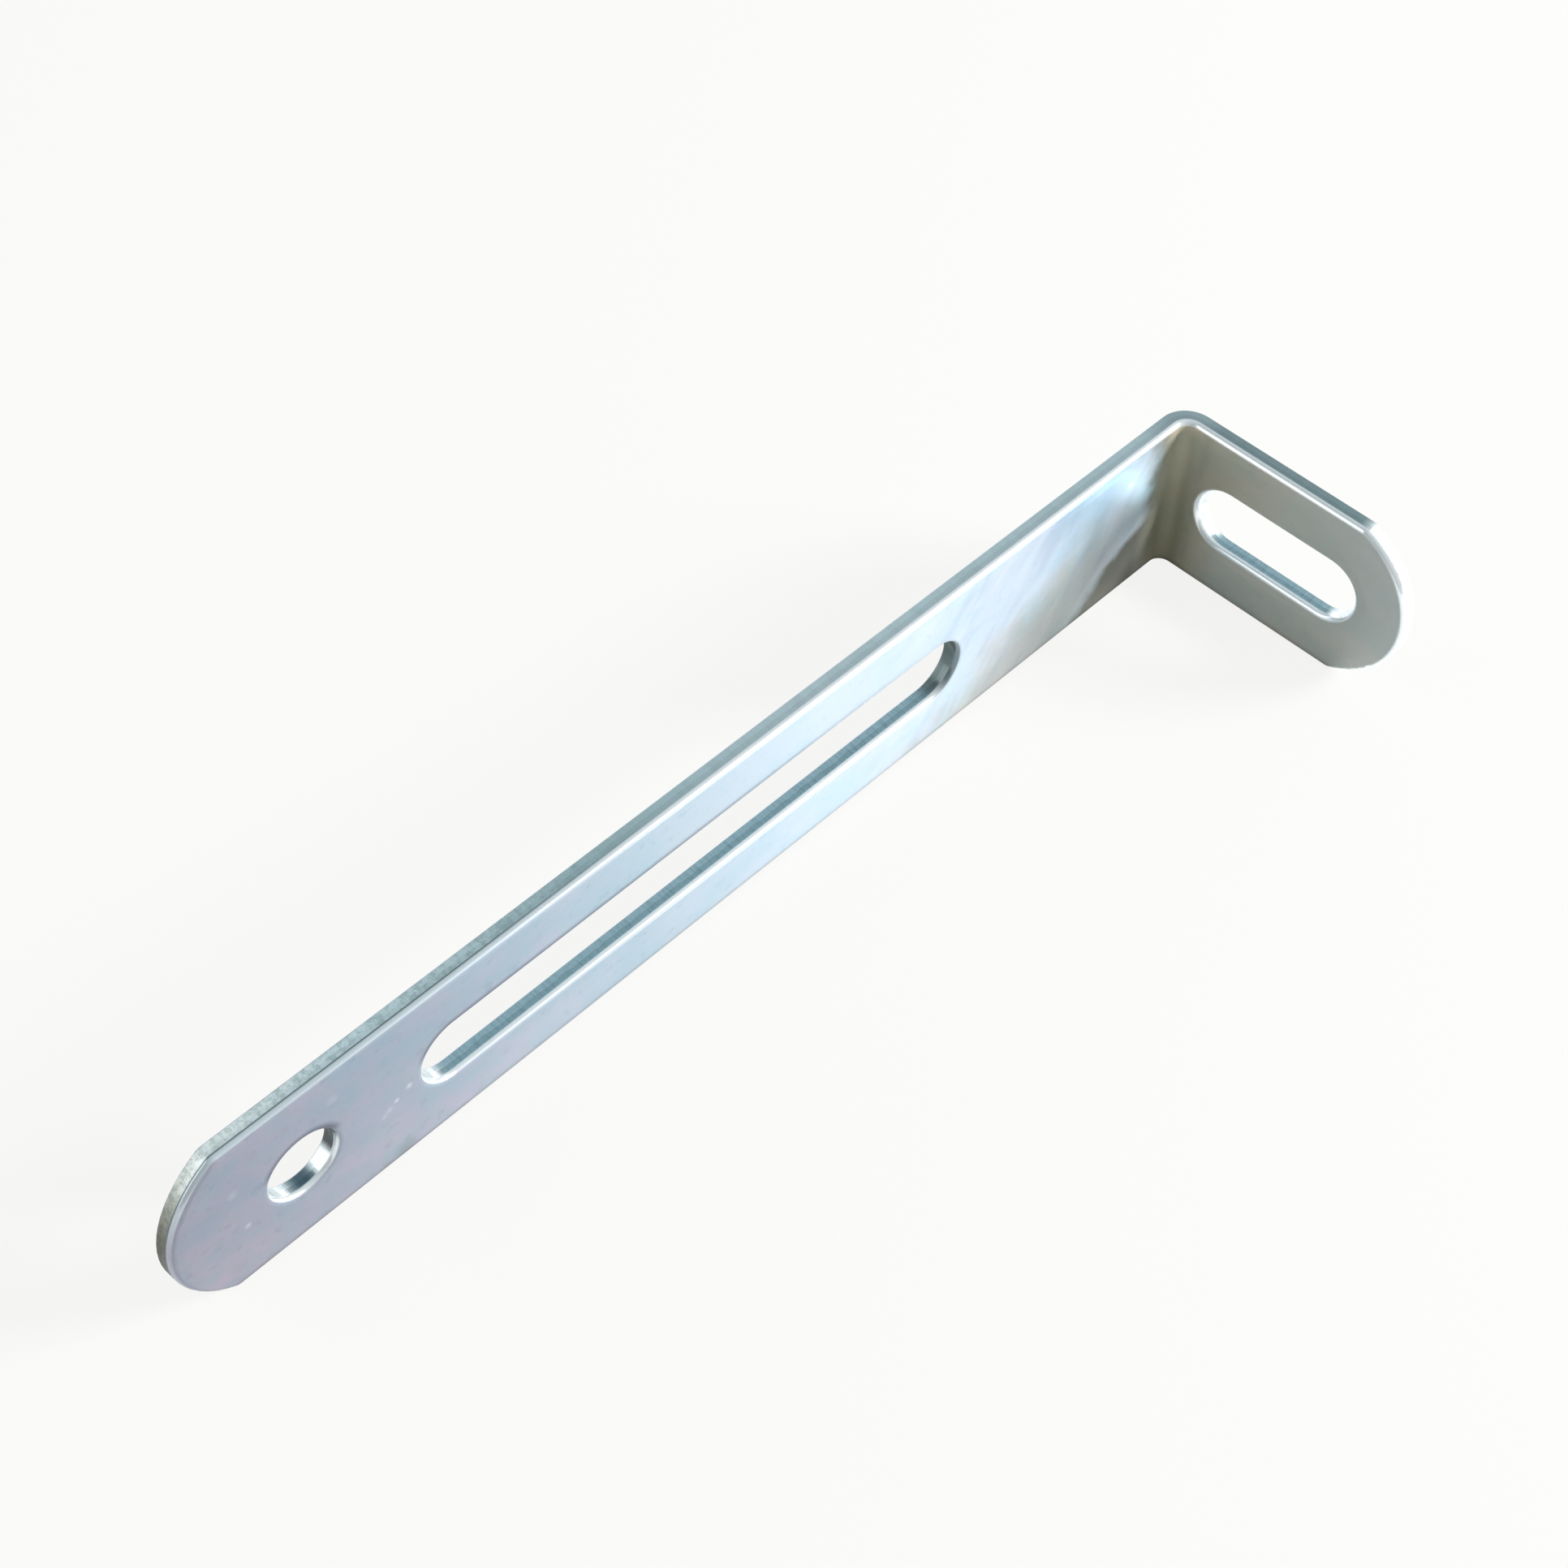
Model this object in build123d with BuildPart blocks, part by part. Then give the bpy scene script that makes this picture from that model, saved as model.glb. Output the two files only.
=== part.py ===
from build123d import *
import os

# Strip
strip_width = 30.0
strip_thickness = 3.0

# Legs, each measured over the outside of the bend
long_leg = 200.0
short_leg = 47.0
inner_bend_radius = 2.0

# Crowned ends, each an arc that stands this far beyond its two corners
long_crown_rise = 8.5
short_crown_rise = 10.5
crown_corner_radius = 2.0

# Bolt hole and slots, with their places measured from the tip of their own leg and from where the bend begins
bolt_hole_diameter = 11.0
bolt_hole_from_tip = 21.0
long_slot_width = 11.0
long_slot_length = 105.0
long_slot_from_tip = 41.0
short_slot_width = 11.0
short_slot_from_tip = 9.0
short_slot_from_bend = 3.0

# The blanking punch rolls the edges where it enters, and the burr on the far side is knocked off
rolled_edge_radius = 1.0
burr_break_radius = 0.25

# Where the faces of the two legs lie, with the middle of the bracket's footprint at the origin
outer_x = -long_leg / 2
outer_y = -short_leg / 2
inner_x = outer_x + strip_thickness
inner_y = outer_y + strip_thickness
outer_bend_radius = inner_bend_radius + strip_thickness
short_slot_length = short_leg - outer_bend_radius - short_slot_from_tip - short_slot_from_bend

# Each tip plane lies on the inner face at the middle of the tip, with its own x running back to the bend
mid_height = strip_width / 2
long_tip = Plane(origin=(long_leg / 2, inner_y, mid_height), x_dir=(-1, 0, 0), z_dir=(0, 1, 0))
short_tip = Plane(origin=(inner_x, short_leg / 2, mid_height), x_dir=(0, -1, 0), z_dir=(1, 0, 0))


def crop_to_crown(tip, rise):
    """Crops both corners of a square tip back to one arc across the strip."""
    radius = (rise**2 + mid_height**2) / (2 * rise)
    with BuildSketch(tip) as corners:
        Rectangle(rise, strip_width, align=(Align.MIN, Align.CENTER))
        with Locations((radius, 0)):
            Circle(radius, mode=Mode.SUBTRACT)
    extrude(corners.sketch, amount=-strip_thickness, mode=Mode.SUBTRACT)


def punch_slot(tip, from_tip, length, width):
    """Punches an obround slot on the strip's middle line, along the leg."""
    with BuildSketch(tip) as slot:
        with Locations((from_tip + length / 2, 0)):
            SlotOverall(length, width)
    extrude(slot.sketch, amount=-strip_thickness, mode=Mode.SUBTRACT)


def outline_of(skin):
    """Edges round a face that wraps both legs, without the two lines where the bend begins and ends."""
    return skin.edges().filter_by(Axis.Z, reverse=True)


with BuildPart() as angle_bracket:
    # Flat bar bent once, drawn from above and standing on its side edge
    with BuildSketch():
        with BuildLine():
            FilletPolyline(
                (long_leg / 2, outer_y),
                (outer_x, outer_y),
                (outer_x, short_leg / 2),
                radius=outer_bend_radius,
            )
            offset(amount=strip_thickness, side=Side.RIGHT)
        make_face()
    extrude(amount=strip_width)

    # Crowned tips, with the corners where each arc meets the side edges softened
    crop_to_crown(long_tip, long_crown_rise)
    crop_to_crown(short_tip, short_crown_rise)
    long_corners = angle_bracket.edges().filter_by(Axis.Y).group_by(Axis.X)[-1]
    short_corners = angle_bracket.edges().filter_by(Axis.X).group_by(Axis.Y)[-1]
    fillet(long_corners + short_corners, radius=crown_corner_radius)

    # Bolt hole and slots
    with BuildSketch(long_tip):
        with Locations((bolt_hole_from_tip, 0)):
            Circle(bolt_hole_diameter / 2)
    extrude(amount=-strip_thickness, mode=Mode.SUBTRACT)
    punch_slot(long_tip, long_slot_from_tip, long_slot_length, long_slot_width)
    punch_slot(short_tip, short_slot_from_tip, short_slot_length, short_slot_width)

    # The inner and the outer skin, each a flat face on either leg joined by the bend
    long_outer, long_inner = angle_bracket.faces().filter_by(Axis.Y).sort_by(Axis.Y)
    short_outer, short_inner = angle_bracket.faces().filter_by(Axis.X).sort_by(Axis.X)
    rounds = angle_bracket.faces().filter_by(GeomType.CYLINDER)
    bends = rounds.filter_by(lambda face: face.axis_of_rotation.is_parallel(Axis.Z))
    inner_bend, outer_bend = bends.sort_by(SortBy.AREA)
    inner_skin = ShapeList([long_inner, inner_bend, short_inner])
    outer_skin = ShapeList([long_outer, outer_bend, short_outer])
    rolled_edges = outline_of(inner_skin)
    burr_edges = outline_of(outer_skin)
    fillet(rolled_edges, radius=rolled_edge_radius)
    fillet(burr_edges, radius=burr_break_radius)

angle_bracket.part.label = "angle_bracket"
os.makedirs("parts", exist_ok=True)
export_step(angle_bracket.part, "parts/angle_bracket.step")
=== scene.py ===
import math

import bpy
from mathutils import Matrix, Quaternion, Vector


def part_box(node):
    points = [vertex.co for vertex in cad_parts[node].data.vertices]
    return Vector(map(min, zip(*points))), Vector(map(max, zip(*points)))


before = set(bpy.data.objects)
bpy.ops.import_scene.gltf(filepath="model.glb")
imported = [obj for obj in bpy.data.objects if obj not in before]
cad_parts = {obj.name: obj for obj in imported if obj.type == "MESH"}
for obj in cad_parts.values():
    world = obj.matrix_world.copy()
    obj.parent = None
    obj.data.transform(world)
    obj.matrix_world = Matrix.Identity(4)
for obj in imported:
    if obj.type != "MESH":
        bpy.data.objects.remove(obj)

bpy.context.view_layer.update()
MM = 0.001

# The bracket's own measures in millimetres, read from the frame where the frame holds them
strip_low, strip_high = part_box("angle_bracket")
steel = 3.0
bend_radius = 2.0
rolled_edge = 1.0
burr_break = 0.25
long_face = strip_low.y / MM + steel
short_face = strip_low.x / MM + steel
long_reach = strip_high.x / MM - short_face - bend_radius
short_reach = strip_high.y / MM - long_face - bend_radius
width = (strip_high.z - strip_low.z) / MM
span = short_reach + long_reach

# Hole, slots and crowned tips on the flat blank: middle along the strip, half the straight part, radius
bolt_hole = (174.0, 0.0, 5.5)
long_slot = (101.5, 47.0, 5.5)
short_slot = (-18.0, 9.5, 5.5)
long_crown_radius = 17.5
short_crown_radius = 16.0

# Small marks in the plating: place on the flat blank, size in millimetres, strength. The first bright mark, on the
# dent, is a painted highlight
dent_place = (10.2, 24.2, 0.0)
bright_marks_and_glint = (
    (dent_place, 0.9, 0.80),
    ((156.6, 14.9, 0.0), 0.8, 0.35),
    ((158.8, 13.8, 0.0), 0.7, 0.35),
    ((160.1, 12.9, 0.0), 1.0, 0.18),
    ((161.0, 12.3, 0.0), 0.8, 0.15),
    ((168.6, 24.3, 0.0), 1.4, 0.10),
    ((183.5, 11.9, 0.0), 0.8, 0.25),
    ((184.9, 20.5, 0.0), 1.2, 0.12),
)
dull_marks = (
    ((158.2, 1.6, 0.0), 3.0, 0.4),
    ((161.5, 1.0, 0.0), 1.6, 0.3),
    ((161.0, 5.5, 0.0), 1.2, 0.18),
    ((186.0, 4.5, 0.0), 1.8, 0.15),
    ((181.0, 25.5, 0.0), 1.5, 0.15),
    ((-27.0, 4.0, 0.0), 2.0, 0.15),
)

# Floor: side in metres, and the share of white in its paint as seen straight on and as mirrored in the plating
floor_side = 6.0
floor_lift = 0.9
mirrored_lift = 0.3

# Window light: where it shines, which way it stands from there, distance and side in metres, and power
bracket_middle = Vector((-0.04, 0.0, 0.015))
window_way = Vector((-0.66, 0.60, 0.46)).normalized()
window_distance = 1.1
window_side = 0.36
window_watts = 18

# Camera: its place, what it looks at and how near and far it sees, in metres, and its roll in radians
eye = Vector((0.18052, 0.14116, 0.31522))
looked_at = Vector((-0.00976, -0.02161, 0.015))
camera_roll = math.radians(4.034)
lens_mm = 63.25
sensor_mm = 36
nearest_seen = 0.01
farthest_seen = 20


class Tone:
    """A number, place or colour that changes over the metal, held by one socket of a finish."""

    def __init__(self, finish, socket):
        self.finish = finish
        self.socket = socket

    def output(self, name):
        return Tone(self.finish, self.socket.node.outputs[name])

    def __add__(self, other):
        return self.finish.maths("ADD", self, other)

    def __radd__(self, other):
        return self.finish.maths("ADD", other, self)

    def __sub__(self, other):
        return self.finish.maths("SUBTRACT", self, other)

    def __rsub__(self, other):
        return self.finish.maths("SUBTRACT", other, self)

    def __mul__(self, other):
        return self.finish.maths("MULTIPLY", self, other)

    def __rmul__(self, other):
        return self.finish.maths("MULTIPLY", other, self)

    def __pow__(self, other):
        return self.finish.maths("POWER", self, other)


class Finish:
    """Writes the nodes of one surface, of the floor or of the room."""

    def __init__(self, owner):
        owner.use_nodes = True
        self.tree = owner.node_tree
        self.tree.nodes.clear()

    def node(self, kind, settings=None, inputs=None, output=0):
        node = self.tree.nodes.new("ShaderNode" + kind)
        settings = dict(settings or {})
        stops = settings.pop("stops", [])
        for name, value in settings.items():
            setattr(node, name, value)
        for number, (place, colour) in enumerate(stops):
            if number < 2:
                stop = node.color_ramp.elements[number]
                stop.position = place
            else:
                stop = node.color_ramp.elements.new(place)
            stop.color = (*colour, 1)
        for place, value in (inputs or {}).items():
            if isinstance(value, Tone):
                self.tree.links.new(value.socket, node.inputs[place])
            else:
                node.inputs[place].default_value = value
        return Tone(self, node.outputs[output]) if node.outputs else None

    def maths(self, operation, *terms):
        return self.node("Math", {"operation": operation}, dict(enumerate(terms)))

    def rise(self, value, start, end):
        """0 below start, 1 above end and a soft step between them."""
        return self.node(
            "MapRange",
            {"interpolation_type": "SMOOTHSTEP"},
            {"Value": value, "From Min": start, "From Max": end},
        )

    def fall(self, value, start, end):
        """1 below start, 0 above end and a soft step between them."""
        return 1 - self.rise(value, start, end)

    def band(self, value, start, full, fading, end):
        """1 between full and fading, 0 outside start and end, and a soft step on either side."""
        return self.rise(value, start, full) * self.fall(value, fading, end)

    def blend(self, amount, under, over, how="MIX"):
        """Lays one colour over another."""
        settings = {"data_type": "RGBA", "blend_type": how}
        return self.node("Mix", settings, {0: amount, 6: under, 7: over}, 2)

    def tint(self, amount, under, shade):
        """Multiplies a colour by a shade, where amount is 1."""
        return self.blend(amount, under, shade, "MULTIPLY")

    def cloud(self, place, size, detail=2.0, crispness=0.5):
        """A soft random pattern from 0 to 1, with patches about this many millimetres across."""
        inputs = {"Vector": place, "Scale": 1 / size, "Detail": detail, "Roughness": crispness}
        return self.node("TexNoise", {"noise_dimensions": "3D"}, inputs)

    def spot(self, place, centre, size):
        """1 in the middle of a round spot on the metal, fading to 0 at this many millimetres."""
        away = self.node("VectorMath", {"operation": "DISTANCE"}, {0: place, 1: centre}, "Value")
        return self.fall(away, 0, size)


def colour(red, green, blue):
    return (red, green, blue, 1)


def flat_blank(finish):
    """Where a point lay on the flat blank before the bend, in millimetres: along from the bend, across the strip
    and down into the steel from the side the punch entered."""
    point = finish.node("TexCoord", output="Object")
    split = finish.node("SeparateXYZ", inputs={0: point})
    from_short = split * (1 / MM) - short_face
    from_long = split.output("Y") * (1 / MM) - long_face
    across = split.output("Z") * (1 / MM)
    beyond_long = finish.maths("MAXIMUM", from_short - bend_radius, 0)
    beyond_short = finish.maths("MAXIMUM", from_long - bend_radius, 0)
    along = beyond_long - beyond_short
    to_long = finish.maths("MAXIMUM", bend_radius - from_long, 0)
    to_short = finish.maths("MAXIMUM", bend_radius - from_short, 0)
    down = (to_long * to_long + to_short * to_short) ** 0.5 - bend_radius
    return along, across, down


def to_edge(finish, along, across):
    """Millimetres from a point on the blank's face to its nearest punched edge."""
    off_middle = finish.maths("ABSOLUTE", across - width / 2)
    nearest = width / 2 - off_middle

    def nearer(distance):
        return finish.maths("MINIMUM", nearest, distance)

    def reach(past):
        beyond = finish.maths("MAXIMUM", past, 0)
        return (beyond * beyond + off_middle * off_middle) ** 0.5

    for middle, half, radius in (bolt_hole, long_slot, short_slot):
        nearest = nearer(reach(finish.maths("ABSOLUTE", along - middle) - half) - radius)
    nearest = nearer(long_crown_radius - reach(along - (long_reach - long_crown_radius)))
    return nearer(short_crown_radius - reach(short_crown_radius - short_reach - along))


class Strip:
    """Where the surfaces of the pressed strip lie, as masks from 0 to 1, and the patterns that they share."""

    def __init__(self, finish):
        along, across, down = flat_blank(finish)
        self.finish = finish
        self.along, self.across, self.down = along, across, down
        self.share = (along + short_reach) * (1 / span)
        self.edge = to_edge(finish, along, across)
        self.blank = finish.node("CombineXYZ", inputs={0: along, 1: across, 2: down})
        self.stretched = finish.node("CombineXYZ", inputs={0: along * 0.5, 1: across, 2: down})
        self.punched = finish.node("CombineXYZ", inputs={0: along, 1: across, 2: down * 0.12})

        # By place on the blank
        self.free_end = finish.rise(along, 105, 150)
        self.off_tips = finish.band(along, -38, -36, 183, 186)
        self.in_slot = finish.band(across, 4, 8, 22, 26) * self.off_tips
        self.in_bend = finish.fall(finish.maths("ABSOLUTE", along), 0, 5)
        # Lower part of the long tip, where the cut edge and the rim are darker
        self.dark_low_tip = finish.rise(along, 184, 187) * finish.fall(across, 17, 28)

        # By depth into the steel
        past_roll = finish.rise(down, rolled_edge * 0.8, rolled_edge * 1.1)
        tear_line = 1.5 + 0.7 * finish.cloud(self.punched, 3.0, 3.0)
        self.off_face = finish.rise(down - 0.15 * self.free_end, 0.01, 0.2)
        self.past_burr = finish.rise(down, steel - burr_break, steel - burr_break * 0.5)
        self.outer_face = finish.rise(down, steel - burr_break, steel - burr_break * 0.4)
        self.cut = past_roll * (1 - self.past_burr)
        self.torn = finish.rise(down - tear_line, -0.08, 0.12) * self.cut

        # Patches and flecks of the plating, streaks and grain of the sheared steel
        self.patches = finish.cloud(self.stretched, 7.0, 3.0, 0.55)
        self.flecks = finish.cloud(self.blank, 1.6, 3.0, 0.6)
        self.streaks = finish.cloud(self.punched, 0.45, 3.0, 0.65)
        self.mottle = finish.cloud(self.blank, 0.8, 3.0, 0.7)
        self.grain = finish.rise(self.mottle, 0.42, 0.62) * self.free_end * (1 - self.in_slot)

    def tones(self, *stops):
        """Colours that follow one another along the strip, from the short tip through the bend to the long tip."""
        stops = [((mm + short_reach) / span, tone) for mm, tone in stops]
        return self.finish.node("ValToRGB", {"stops": stops}, {0: self.share})


def inner_plating_and_light(finish, strip):
    """Inner faces' plating with painted light: tones along the strip, partly the plating's drift and partly a painted
    reflection; a lit upper side, bluer and brighter, painted over a shadowed lower side; and a painted shadow in and
    round the bend.
    """
    along, across = strip.along, strip.across
    # Tones along the strip are partly the plating's own drift and partly a painted reflection, brightest in the
    # middle of the long leg and darker towards its tip
    upper = strip.tones(
        (-short_reach, (0.33, 0.35, 0.35)),
        (-20, (0.32, 0.30, 0.26)),
        (-2, (0.41, 0.37, 0.28)),
        (2, (0.55, 0.63, 0.69)),
        (16, (0.50, 0.64, 0.79)),
        (40, (0.67, 0.74, 0.84)),
        (80, (0.64, 0.73, 0.82)),
        (115, (0.49, 0.57, 0.65)),
        (150, (0.37, 0.41, 0.48)),
        (long_reach, (0.32, 0.315, 0.38)),
    )
    lower = strip.tones(
        (-short_reach, (0.36, 0.38, 0.37)),
        (-20, (0.40, 0.39, 0.35)),
        (-2, (0.42, 0.38, 0.29)),
        (2, (0.80, 0.92, 1.0)),
        (12, (0.60, 0.66, 0.72)),
        (18, (0.47, 0.50, 0.50)),
        (40, (0.55, 0.55, 0.54)),
        (80, (0.57, 0.62, 0.66)),
        (115, (0.47, 0.53, 0.60)),
        (150, (0.43, 0.435, 0.505)),
        (long_reach, (0.375, 0.365, 0.43)),
    )
    # The slant between them is painted light: lit above it, and below it the painted shadow that the short leg casts
    # on the long leg
    waver = finish.cloud(strip.blank, 9.0, 3.0, 0.6) - 0.5
    slant = across - 29 + along * 0.5 + waver * 16
    plate = finish.blend(finish.rise(slant, -6, 7), lower, upper)

    # Broad slanting wipes on the long leg near the bend
    over_wipes = along * 0.16 - across * 0.22
    along_wipes = along * 0.82 + across * 0.57
    wiped = finish.node("CombineXYZ", inputs={0: over_wipes, 1: along_wipes, 2: strip.down})
    wipes = finish.cloud(wiped, 4.5, 2.0, 0.5)
    near_bend = finish.band(along, 0, 3, 40, 80)
    pale_wipes = finish.rise(wipes, 0.50, 0.66) * near_bend
    dark_wipes = finish.fall(wipes, 0.34, 0.48) * near_bend
    plate = finish.tint(pale_wipes, plate, colour(1.07, 1.06, 1.045))
    plate = finish.tint(dark_wipes, plate, colour(0.90, 0.915, 0.945))

    # Painted shadow of the short leg in the bend and on the long leg beside it, reaching farthest along the foot, and
    # painted shade in the bend itself, darker low
    low_side = finish.maths("MAXIMUM", 9 - across, 0) * 0.9 + 8 * finish.fall(across, 8, 13.5)
    shadow_edge = along - 4.2 - low_side + waver * 9
    bend_shadow = finish.fall(shadow_edge, -2.2, 2.2) * finish.rise(along, -4, -0.5)
    low_shadow_tone = finish.blend(finish.rise(along, 3, 6.5), colour(0.33, 0.31, 0.26), colour(0.15, 0.145, 0.12))
    shadow_tone = finish.blend(finish.rise(across, 2, 26), low_shadow_tone, colour(0.25, 0.25, 0.22))
    shade_in_bend = finish.blend(finish.rise(across, 12, 26), colour(0.35, 0.32, 0.23), colour(0.48, 0.44, 0.34))
    plate = finish.blend(bend_shadow, plate, finish.blend(strip.in_bend, shadow_tone, shade_in_bend))

    # Warmer grey low on the short leg
    low_short = finish.fall(across, 0, 24) * finish.fall(along, -10, -2)
    low_short = low_short * (0.35 + 0.65 * finish.rise(along, -38, -24))
    return finish.blend(low_short, plate, colour(0.47, 0.46, 0.42))


def outer_plating(strip):
    """Even plating of the outer faces."""
    return strip.tones(
        (-short_reach, (0.50, 0.52, 0.52)),
        (-10, (0.53, 0.55, 0.55)),
        (0, (0.57, 0.58, 0.57)),
        (12, (0.53, 0.57, 0.60)),
        (80, (0.54, 0.60, 0.66)),
        (130, (0.46, 0.50, 0.56)),
        (long_reach, (0.37, 0.38, 0.43)),
    )


def clouded(finish, strip, plate):
    """Patches, flecks, faint tints and smudges in the plating."""
    plate = finish.tint(finish.rise(strip.patches, 0.40, 0.62), plate, colour(0.91, 0.98, 0.98))
    plate = finish.tint(finish.rise(strip.flecks, 0.58, 0.72) * 0.6, plate, colour(0.84, 0.89, 0.92))
    low_free = strip.free_end * finish.fall(strip.across, 3, 22)
    plate = finish.tint(low_free, plate, colour(1.18, 1.11, 1.09))
    tints = finish.cloud(strip.blank, 5.0, 2.0, 0.6)
    bluer = finish.rise(tints, 0.48, 0.60) * strip.free_end
    pinker = finish.fall(tints, 0.42, 0.52) * strip.free_end
    plate = finish.tint(bluer, plate, colour(0.95, 1.01, 1.02))
    plate = finish.tint(pinker, plate, colour(1.04, 1.00, 1.03))
    smudges = finish.rise(finish.cloud(strip.blank, 2.4, 2.0), 0.60, 0.72) * finish.rise(strip.along, 60, 120)
    return finish.tint(smudges * 0.6, plate, colour(0.82, 0.85, 0.87))


def shaded_and_marked(finish, strip, plate):
    """Painted shade over the openings and along the foot, and the few small marks left by handling; the brightest of
    them, on the dent, is a painted highlight.
    """
    # Painted shade over the openings, close to their edges
    over_opening = finish.band(strip.across, 17, 19, 23, 25)
    near_edge = finish.fall(strip.edge, 0.7, 1.9)
    hood = over_opening * near_edge * finish.rise(strip.along, 40, 110) * strip.off_tips
    hood = hood * (1 - strip.outer_face)
    plate = finish.tint(hood, plate, colour(0.45, 0.44, 0.48))
    # Painted contact shadow along the foot
    foot_shadow = finish.fall(strip.across, 0.4, 1.8)
    plate = finish.tint(foot_shadow, plate, colour(0.66, 0.62, 0.60))
    # Bright marks: the one on the dent is a painted highlight
    for marks, tone in ((bright_marks_and_glint, colour(0.95, 0.98, 1.0)), (dull_marks, colour(0.20, 0.21, 0.20))):
        for place, size, strength in marks:
            plate = finish.blend(finish.spot(strip.blank, place, size) * strength, plate, tone)
    return plate


def sheared_edges(finish, strip):
    """Sheared outer edges under the same plating, streaked the way the punch went through; their tones rise to a
    near-white painted highlight at both tips.
    """
    sheared = strip.tones(
        (-short_reach, (0.92, 0.94, 0.95)),
        (-32, (0.80, 0.88, 0.90)),
        (-30, (0.22, 0.31, 0.33)),
        (-4, (0.22, 0.30, 0.32)),
        (6, (0.45, 0.57, 0.61)),
        (80, (0.52, 0.64, 0.68)),
        (125, (0.39, 0.53, 0.57)),
        (165, (0.70, 0.83, 0.88)),
        (186, (0.95, 1.0, 1.0)),
        (long_reach, (0.46, 0.46, 0.39)),
    )
    blotches = finish.cloud(strip.punched, 2.6, 3.0, 0.6)
    parting = finish.band(strip.down, 0.65, 0.80, 1.05, 1.25) * (0.1 + 0.9 * strip.free_end)
    sheared = finish.blend(strip.dark_low_tip, sheared, colour(0.16, 0.16, 0.12))
    sheared = finish.tint(finish.rise(strip.streaks, 0.35, 0.65) * 0.5, sheared, colour(0.88, 0.90, 0.90))
    sheared = finish.tint(finish.rise(blotches, 0.4, 0.65) * 0.5, sheared, colour(0.86, 0.88, 0.86))
    sheared = finish.tint(strip.grain, sheared, colour(0.72, 0.76, 0.74))
    return finish.blend(parting * (1 - strip.in_slot), sheared, colour(0.10, 0.15, 0.16))


def punched_walls(finish, strip):
    """Walls of the hole and slots, burnished by the punch, with painted shade on their straight sides, darkest at the
    long slot's end towards the bend, and painted dark reflections in the hole's wall.
    """
    along, across = strip.along, strip.across
    bright_streaks = finish.rise(strip.streaks, 0.4, 0.7)
    walls = finish.blend(bright_streaks, colour(0.88, 0.95, 0.97), colour(0.68, 0.76, 0.78))
    # Painted shade on the straight walls, inside the openings
    for middle, half, _ in (bolt_hole, long_slot, short_slot):
        straight_wall_shade = finish.fall(finish.maths("ABSOLUTE", along - middle), half, half + 3)
        walls = finish.tint(straight_wall_shade, walls, colour(0.70, 0.89, 0.97))
    # Painted shade at the long slot's end towards the bend, and painted dark reflections in the hole's wall towards
    # the bend and at its foot
    slot_head_shade = finish.band(along, 44, 48, 51, 57)
    walls = finish.blend(slot_head_shade, walls, colour(0.15, 0.19, 0.19))
    hole_head_shade = finish.rise(across, 11.5, 13) * finish.rise(along, 160, 164) * finish.fall(along, 170, 172.5)
    walls = finish.blend(hole_head_shade, walls, colour(0.13, 0.145, 0.15))
    hole_foot_shade = finish.band(along, 171, 173, 174, 176.5) * finish.fall(across, 13, 15)
    return finish.tint(hole_foot_shade, walls, colour(0.30, 0.33, 0.35))


def rolled_rim(finish, strip):
    """Rolled rim round the outline and the openings, painted bright as a highlight, with painted shade along the foot
    and over the long slot.
    """
    along, across, in_slot = strip.along, strip.across, strip.in_slot
    # Near-white rim is a painted highlight, less bright towards the free end
    rim = finish.blend(strip.free_end * (1 - in_slot), colour(0.94, 0.97, 0.98), colour(0.76, 0.83, 0.87))
    # Painted contact shadow on the rim along the foot
    rim = finish.blend(finish.rise(1.2 - across, 0.0, 0.8), rim, colour(0.20, 0.18, 0.16))
    rim = finish.blend(strip.dark_low_tip, rim, colour(0.44, 0.43, 0.50))
    # Painted shade on the slot's upper rim and at its end towards the bend
    upper_rim_shade = in_slot * finish.rise(across, 14, 17) * finish.rise(along, 20, 40)
    head_rim_shade = in_slot * finish.rise(along, 43, 46) * finish.fall(along, 50, 54)
    return finish.blend(finish.maths("MAXIMUM", upper_rim_shade, head_rim_shade), rim, colour(0.21, 0.26, 0.27))


def relief(finish, strip):
    """Heights in millimetres, with the shallow sag that the punch draws round each edge."""
    cut, blank = strip.cut, strip.blank
    sag = finish.fall(strip.edge, 0.9, 2.6) * (0.10 - 0.05 * strip.free_end)
    peel = finish.cloud(blank, 0.7, 2.0) * 0.002 + finish.cloud(blank, 4.0, 1.0) * 0.010
    handling_dent = finish.spot(blank, dent_place, 1.8) * 0.04
    torn_scores = finish.cloud(strip.punched, 0.2, 2.0) * strip.torn * 0.02
    scores = strip.streaks * cut * 0.02 + torn_scores + strip.mottle * strip.grain * cut * 0.03
    return peel - sag - handling_dent - scores


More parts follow.
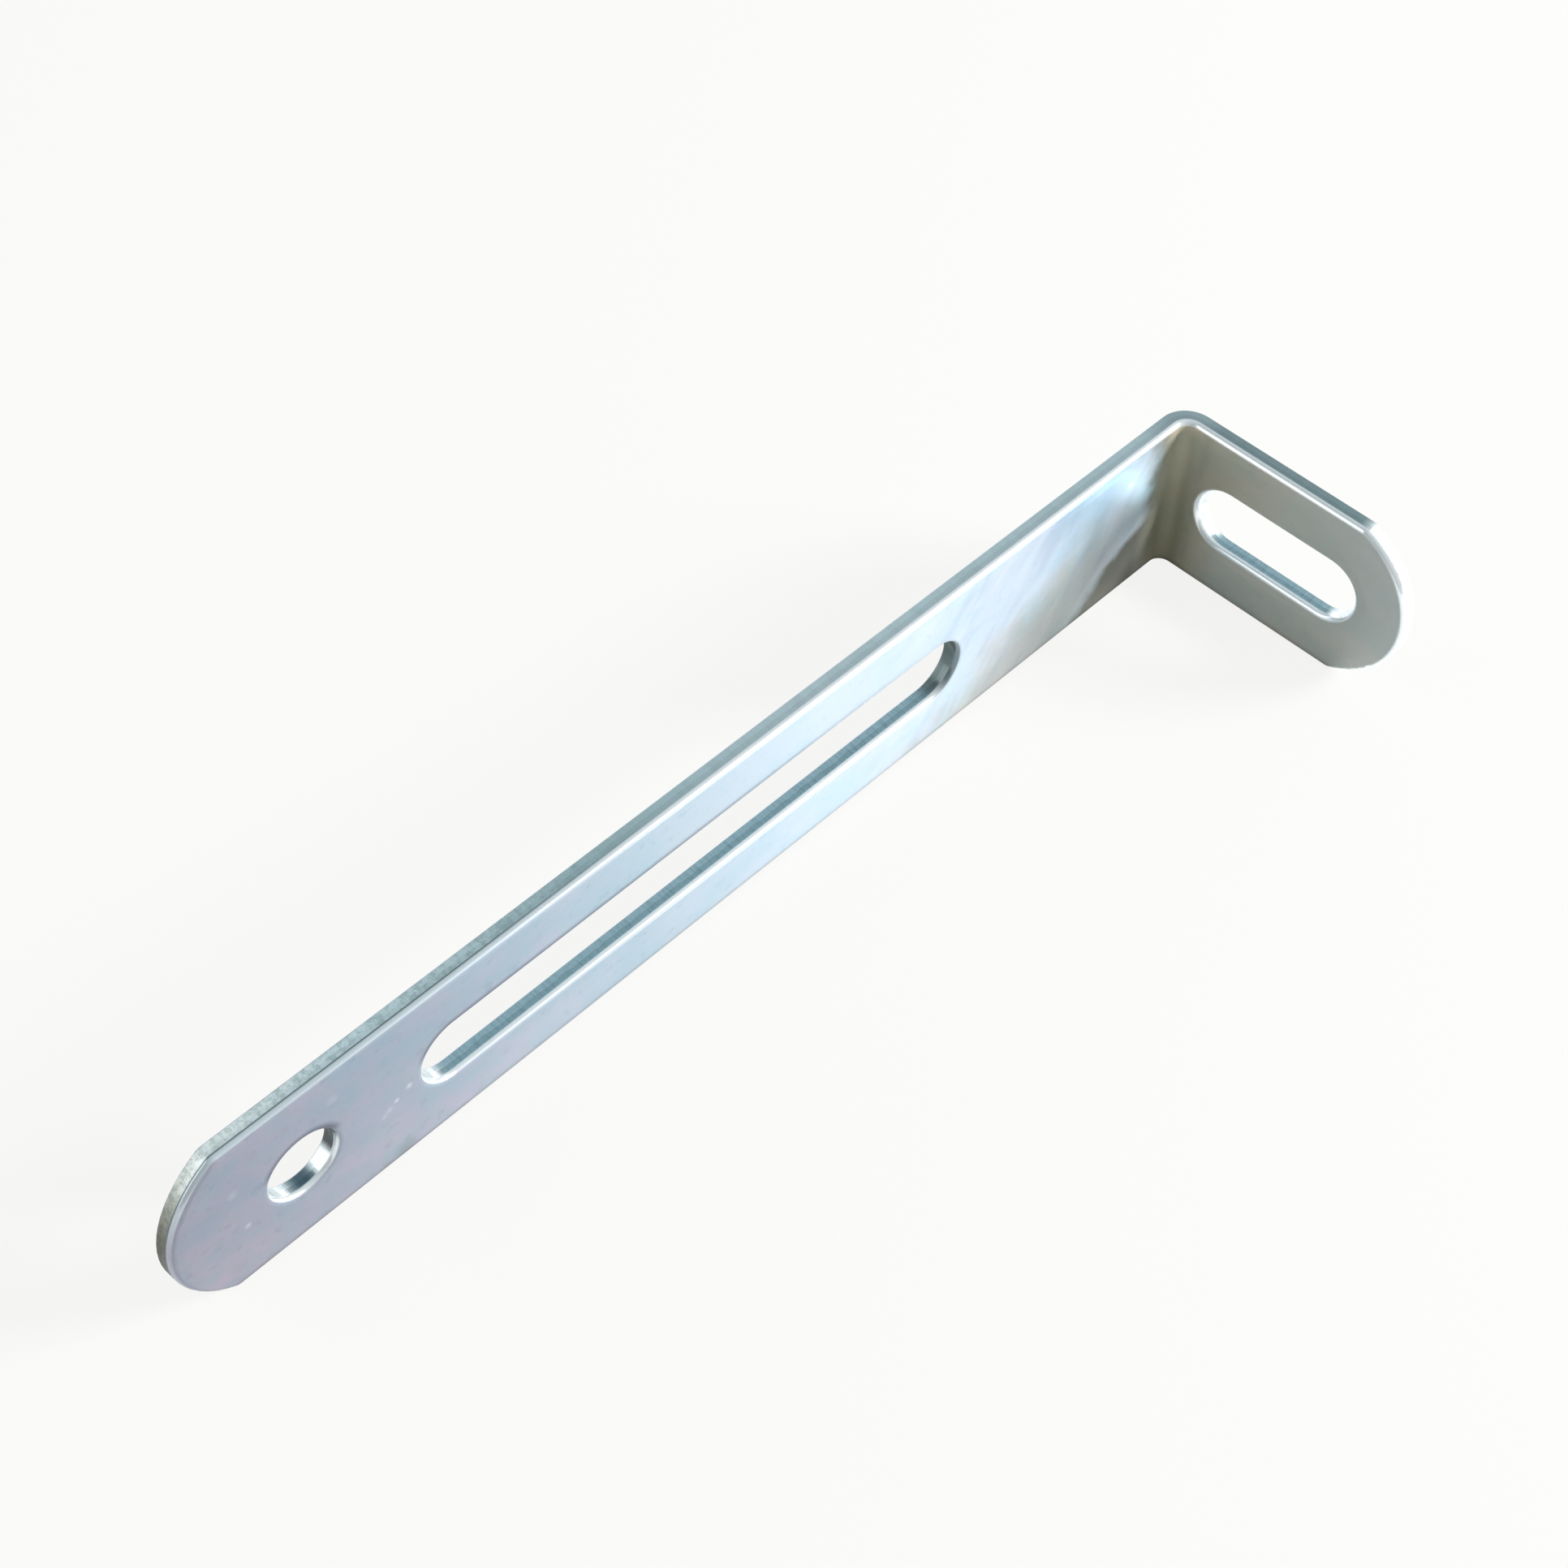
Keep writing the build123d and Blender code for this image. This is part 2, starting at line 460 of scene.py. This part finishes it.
def zinc_plate(material):
    """Blue-white zinc plating over pressed steel, with rolled rims and sheared edges."""
    finish = Finish(material)
    strip = Strip(finish)
    cut, in_slot, off_face = strip.cut, strip.in_slot, strip.off_face

    plate = finish.blend(strip.outer_face, inner_plating_and_light(finish, strip), outer_plating(strip))
    plate = shaded_and_marked(finish, strip, clouded(finish, strip, plate))
    edges = finish.blend(in_slot, sheared_edges(finish, strip), punched_walls(finish, strip))
    base = finish.blend(off_face * (1 - strip.past_burr), plate, rolled_rim(finish, strip))
    base = finish.blend(cut, base, edges)

    face_roughness = 0.36 + 0.10 * strip.patches + 0.05 * strip.flecks + 0.30 * strip.in_bend
    edge_roughness = 0.2 + 0.10 * cut * (1 - in_slot) + 0.14 * strip.torn + 0.06 * strip.streaks * cut
    roughness = face_roughness * (1 - off_face) + edge_roughness * off_face
    metal = 0.55 + 0.4 * cut * in_slot

    height = relief(finish, strip)
    shading = finish.node("Bump", inputs={"Strength": 1.0, "Distance": MM, "Height": height})
    surface = finish.node(
        "BsdfPrincipled",
        inputs={"Base Color": base, "Roughness": roughness, "Metallic": metal, "Normal": shading},
    )
    finish.node("OutputMaterial", inputs={"Surface": surface})


def pale_paint(material):
    """Matt paint, lifted nearly to white where it is seen straight on or through something clear. The plating mirrors
    a third of that lift, so that the bracket's own shadow still shows in its lower sides."""
    finish = Finish(material)
    camera_ray = finish.node("LightPath", output="Is Camera Ray")
    seen_straight = camera_ray + camera_ray.output("Is Transmission Ray")
    lift = seen_straight * floor_lift + camera_ray.output("Is Glossy Ray") * mirrored_lift
    matt = finish.node("BsdfDiffuse", inputs={"Color": colour(0.93, 0.93, 0.92)})
    glow = finish.node("Emission", inputs={"Color": colour(0.96, 0.96, 0.94)})
    painted = finish.node("MixShader", inputs={0: lift, 1: matt, 2: glow})
    finish.node("OutputMaterial", inputs={"Surface": painted})


def grey_walls(world):
    """Grey walls with a pale horizon and a bright low wall behind the bracket, all of them pale to the camera."""
    finish = Finish(world)
    sideways = finish.node("SeparateXYZ", inputs={0: finish.node("TexCoord", output="Generated")})
    upward = sideways.output("Z")
    behind = sideways.output("Y") * -1
    overhead = finish.rise(upward, 0.35, 0.75)
    walls = finish.blend(overhead, colour(0.30, 0.31, 0.32), colour(0.24, 0.31, 0.33))
    wall_top = upward - 0.35 * sideways
    low_wall = finish.rise(behind, 0.1, 0.35) * finish.fall(wall_top, 0.5, 0.7)
    walls = finish.blend(low_wall, walls, colour(1.7, 1.72, 1.74))
    camera_ray = finish.node("LightPath", output="Is Camera Ray")
    seen_straight = camera_ray + camera_ray.output("Is Transmission Ray")
    horizon = finish.fall(upward, 0.0, 0.08)
    pale = finish.maths("MAXIMUM", seen_straight, horizon)
    seen = finish.blend(pale, walls, colour(0.915, 0.922, 0.905))
    background = finish.node("Background", inputs={"Color": seen})
    finish.node("OutputWorld", inputs={"Surface": background})


# The bracket keeps the frame's own shape and takes the plating
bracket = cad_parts["angle_bracket"]
plating = bpy.data.materials.new("zinc_plating")
zinc_plate(plating)
for place in bracket.material_slots:
    place.material = plating

# Pale floor under it
bpy.ops.mesh.primitive_plane_add(size=floor_side)
floor = bpy.context.object
floor.name = "floor"
floor_paint = bpy.data.materials.new("floor_paint")
pale_paint(floor_paint)
floor.data.materials.append(floor_paint)

# Soft room round it
room = bpy.data.worlds.new("soft_room")
bpy.context.scene.world = room
grey_walls(room)

# One broad window light low over the far end of the bend
window = bpy.data.lights.new("window", "AREA")
window.shape = "RECTANGLE"
window.size = window_side
window.size_y = window_side
window.energy = window_watts
window_light = bpy.data.objects.new("window", window)
window_light.location = bracket_middle + window_way * window_distance
window_light.rotation_mode = "QUATERNION"
window_light.rotation_quaternion = (-window_way).to_track_quat("-Z", "Y")
window_light.visible_camera = False
bpy.context.scene.collection.objects.link(window_light)

# Camera at the photograph's angle
camera = bpy.data.cameras.new("camera")
camera.lens = lens_mm
camera.sensor_width = sensor_mm
camera.clip_start = nearest_seen
camera.clip_end = farthest_seen
viewer = bpy.data.objects.new("camera", camera)
viewer.location = eye
viewer.rotation_mode = "QUATERNION"
viewer.rotation_quaternion = (looked_at - eye).to_track_quat("-Z", "Y") @ Quaternion((0, 0, 1), camera_roll)
bpy.context.scene.collection.objects.link(viewer)
bpy.context.scene.camera = viewer
bpy.context.scene.view_settings.view_transform = "Standard"

bpy.context.view_layer.update()
